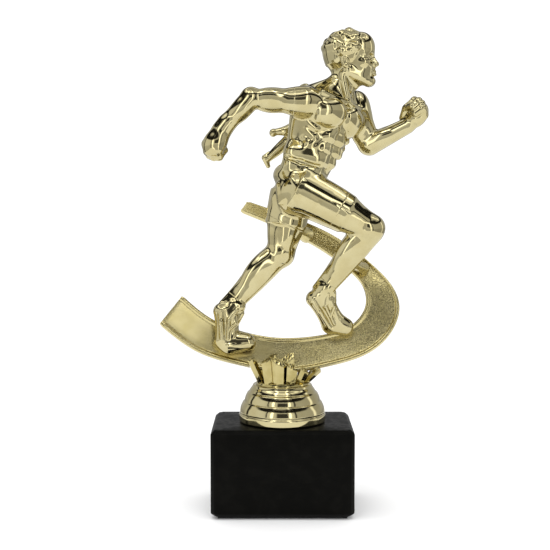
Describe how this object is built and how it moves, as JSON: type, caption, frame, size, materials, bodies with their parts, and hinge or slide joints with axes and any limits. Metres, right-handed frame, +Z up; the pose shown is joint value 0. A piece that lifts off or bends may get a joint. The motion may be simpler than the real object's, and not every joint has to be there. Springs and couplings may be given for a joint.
{
  "type": "figure trophy",
  "caption": "Running figure on a curved track band with a small second figure, carried by crystals and a round stepped pedestal that a rod clamps to a chamfered stone block.",
  "frame": {"origin": "centre of the felt's underside, on the tie rod's axis, where the trophy stands", "axes": "+Z up along the tie rod; +X the way the figure runs; the figure's right side faces -Y, the front"},
  "size_m": [0.1404, 0.0534, 0.2465],
  "materials": {
    "stone_black": "satin",
    "felt": "matte",
    "zinc_steel": "satin",
    "metallised_gold": "polished",
    "metallised_gold_satin": "satin"
  },
  "bodies": {
    "root": {"base_block": "stone_black", "base_felt": "felt", "tie_rod": "zinc_steel", "base_washer": "zinc_steel", "base_nut": "zinc_steel", "pedestal_nut": "zinc_steel", "pedestal": "metallised_gold", "crystal_cluster": "metallised_gold", "track_ribbon": "metallised_gold_satin", "runner_body": "metallised_gold", "runner_right_arm": "metallised_gold", "runner_left_arm": "metallised_gold", "distant_runner": "metallised_gold"}
  },
  "joints": []
}
